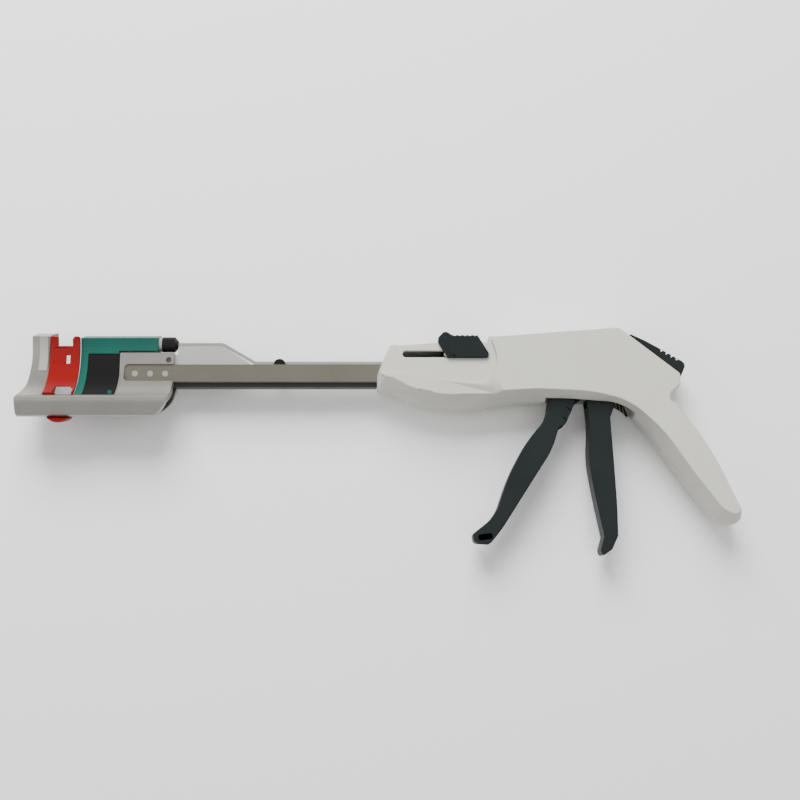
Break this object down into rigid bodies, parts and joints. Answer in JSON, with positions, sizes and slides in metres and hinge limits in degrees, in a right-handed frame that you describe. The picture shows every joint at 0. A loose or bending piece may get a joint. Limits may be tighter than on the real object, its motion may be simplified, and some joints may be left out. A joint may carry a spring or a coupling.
{
  "type": "curved cutter stapler",
  "caption": "Surgical curved cutter stapler: C-shaped jaw with green cartridge and red retainer, flat steel shaft, white casing with closing and firing triggers.",
  "frame": {"origin": "on the far casing's flat side, on the shaft's axis, above the trigger axle", "axes": "+X from the jaws to the grip, +Y from the grip to the top of the handle, +Z from the side it lies on to the side that faces the viewer"},
  "size_m": [0.3972, 0.126, 0.0362],
  "materials": {
    "cast_aluminium": "matte blasted",
    "steel_plate": "satin, brushed along the shaft",
    "steel_bright": "bright satin",
    "grey_plastic": "matte",
    "speckled_ring": "speckled",
    "green_plastic": "satin moulded",
    "black_plastic": "satin moulded",
    "red_plastic": "satin moulded",
    "white_casing": "fine grained satin",
    "charcoal_plastic": "matte moulded"
  },
  "bodies": {
    "frame": {"c_frame": "cast_aluminium", "anvil_plate": "steel_bright", "anvil_insert": "grey_plastic", "near_handle_plate": "steel_plate", "far_handle_plate": "steel_plate", "frame_rivets": "steel_bright", "plate_cross_pins": "steel_bright", "rod_guide_clip": "black_plastic", "near_casing_shell": "white_casing", "far_casing_shell": "white_casing", "casing_screws": "steel_bright", "trigger_axle": "steel_bright", "button_pin": "steel_bright", "button_spring": "steel_bright", "closure_return_spring": "steel_bright"},
    "closing_channel": {"closure_channel": "steel_bright", "closure_pin": "steel_bright", "cartridge_housing": "green_plastic", "cartridge_core": "black_plastic", "lock_pin": "green_plastic", "seam_ring": "speckled_ring", "pin_end_cap": "black_plastic"},
    "firing_carriage": {"firing_bar": "steel_bright", "staple_driver": "black_plastic", "knife": "steel_bright"},
    "pin_carriage": {"retaining_pin": "steel_bright", "push_rod": "steel_bright", "rod_coupler": "steel_bright", "saddle_crossbar": "steel_bright", "saddle_slide": "charcoal_plastic"},
    "closing_lever": {"closure_trigger": "charcoal_plastic"},
    "firing_lever": {"firing_trigger": "charcoal_plastic"},
    "release_key": {"release_button": "charcoal_plastic"},
    "retainer_clip": {"staple_retainer": "red_plastic"}
  },
  "joints": [
    {"name": "closure_trigger_hinge", "type": "hinge", "parent": "frame", "child": "closing_lever", "pos_m": [0, -0.008, 0.015], "axis": [0, 0, 1], "range_deg": [0, 27], "stiffness_Nm_per_rad": 0.2, "springref_deg": -2.86},
    {"name": "closure_slide", "type": "slide", "parent": "frame", "child": "closing_channel", "axis": [-1, 0, 0], "range_m": [0, 0.0155], "deforming": ["closure_return_spring"]},
    {"name": "firing_trigger_hinge", "type": "hinge", "parent": "closing_lever", "child": "firing_lever", "pos_m": [0, -0.008, 0.015], "axis": [0, 0, 1], "range_deg": [0, 22], "stiffness_Nm_per_rad": 0.2, "springref_deg": -2.86},
    {"name": "firing_slide", "type": "slide", "parent": "closing_channel", "child": "firing_carriage", "axis": [-1, 0, 0], "range_m": [0, 0.006]},
    {"name": "pin_slide", "type": "slide", "parent": "frame", "child": "pin_carriage", "axis": [-1, 0, 0], "range_m": [0, 0.021]},
    {"name": "release_button_press", "type": "hinge", "parent": "frame", "child": "release_key", "pos_m": [0.0196, 0.0188, 0.015], "axis": [0, 0, -1], "range_deg": [0, 6], "stiffness_Nm_per_rad": 0.05, "springref_deg": -2.86, "deforming": ["button_spring"]},
    {"name": "retainer_removal", "type": "hinge", "parent": "frame", "child": "retainer_clip", "pos_m": [-0.298, 0.0106, 0.0498], "axis": [1, 0, 0], "range_deg": [0, 95]}
  ],
  "couplings": [
    {"joint": "closure_slide", "follows": "closure_trigger_hinge", "m_per_rad": 0.032892},
    {"joint": "firing_slide", "follows": "firing_trigger_hinge", "m_per_rad": 0.015626}
  ]
}
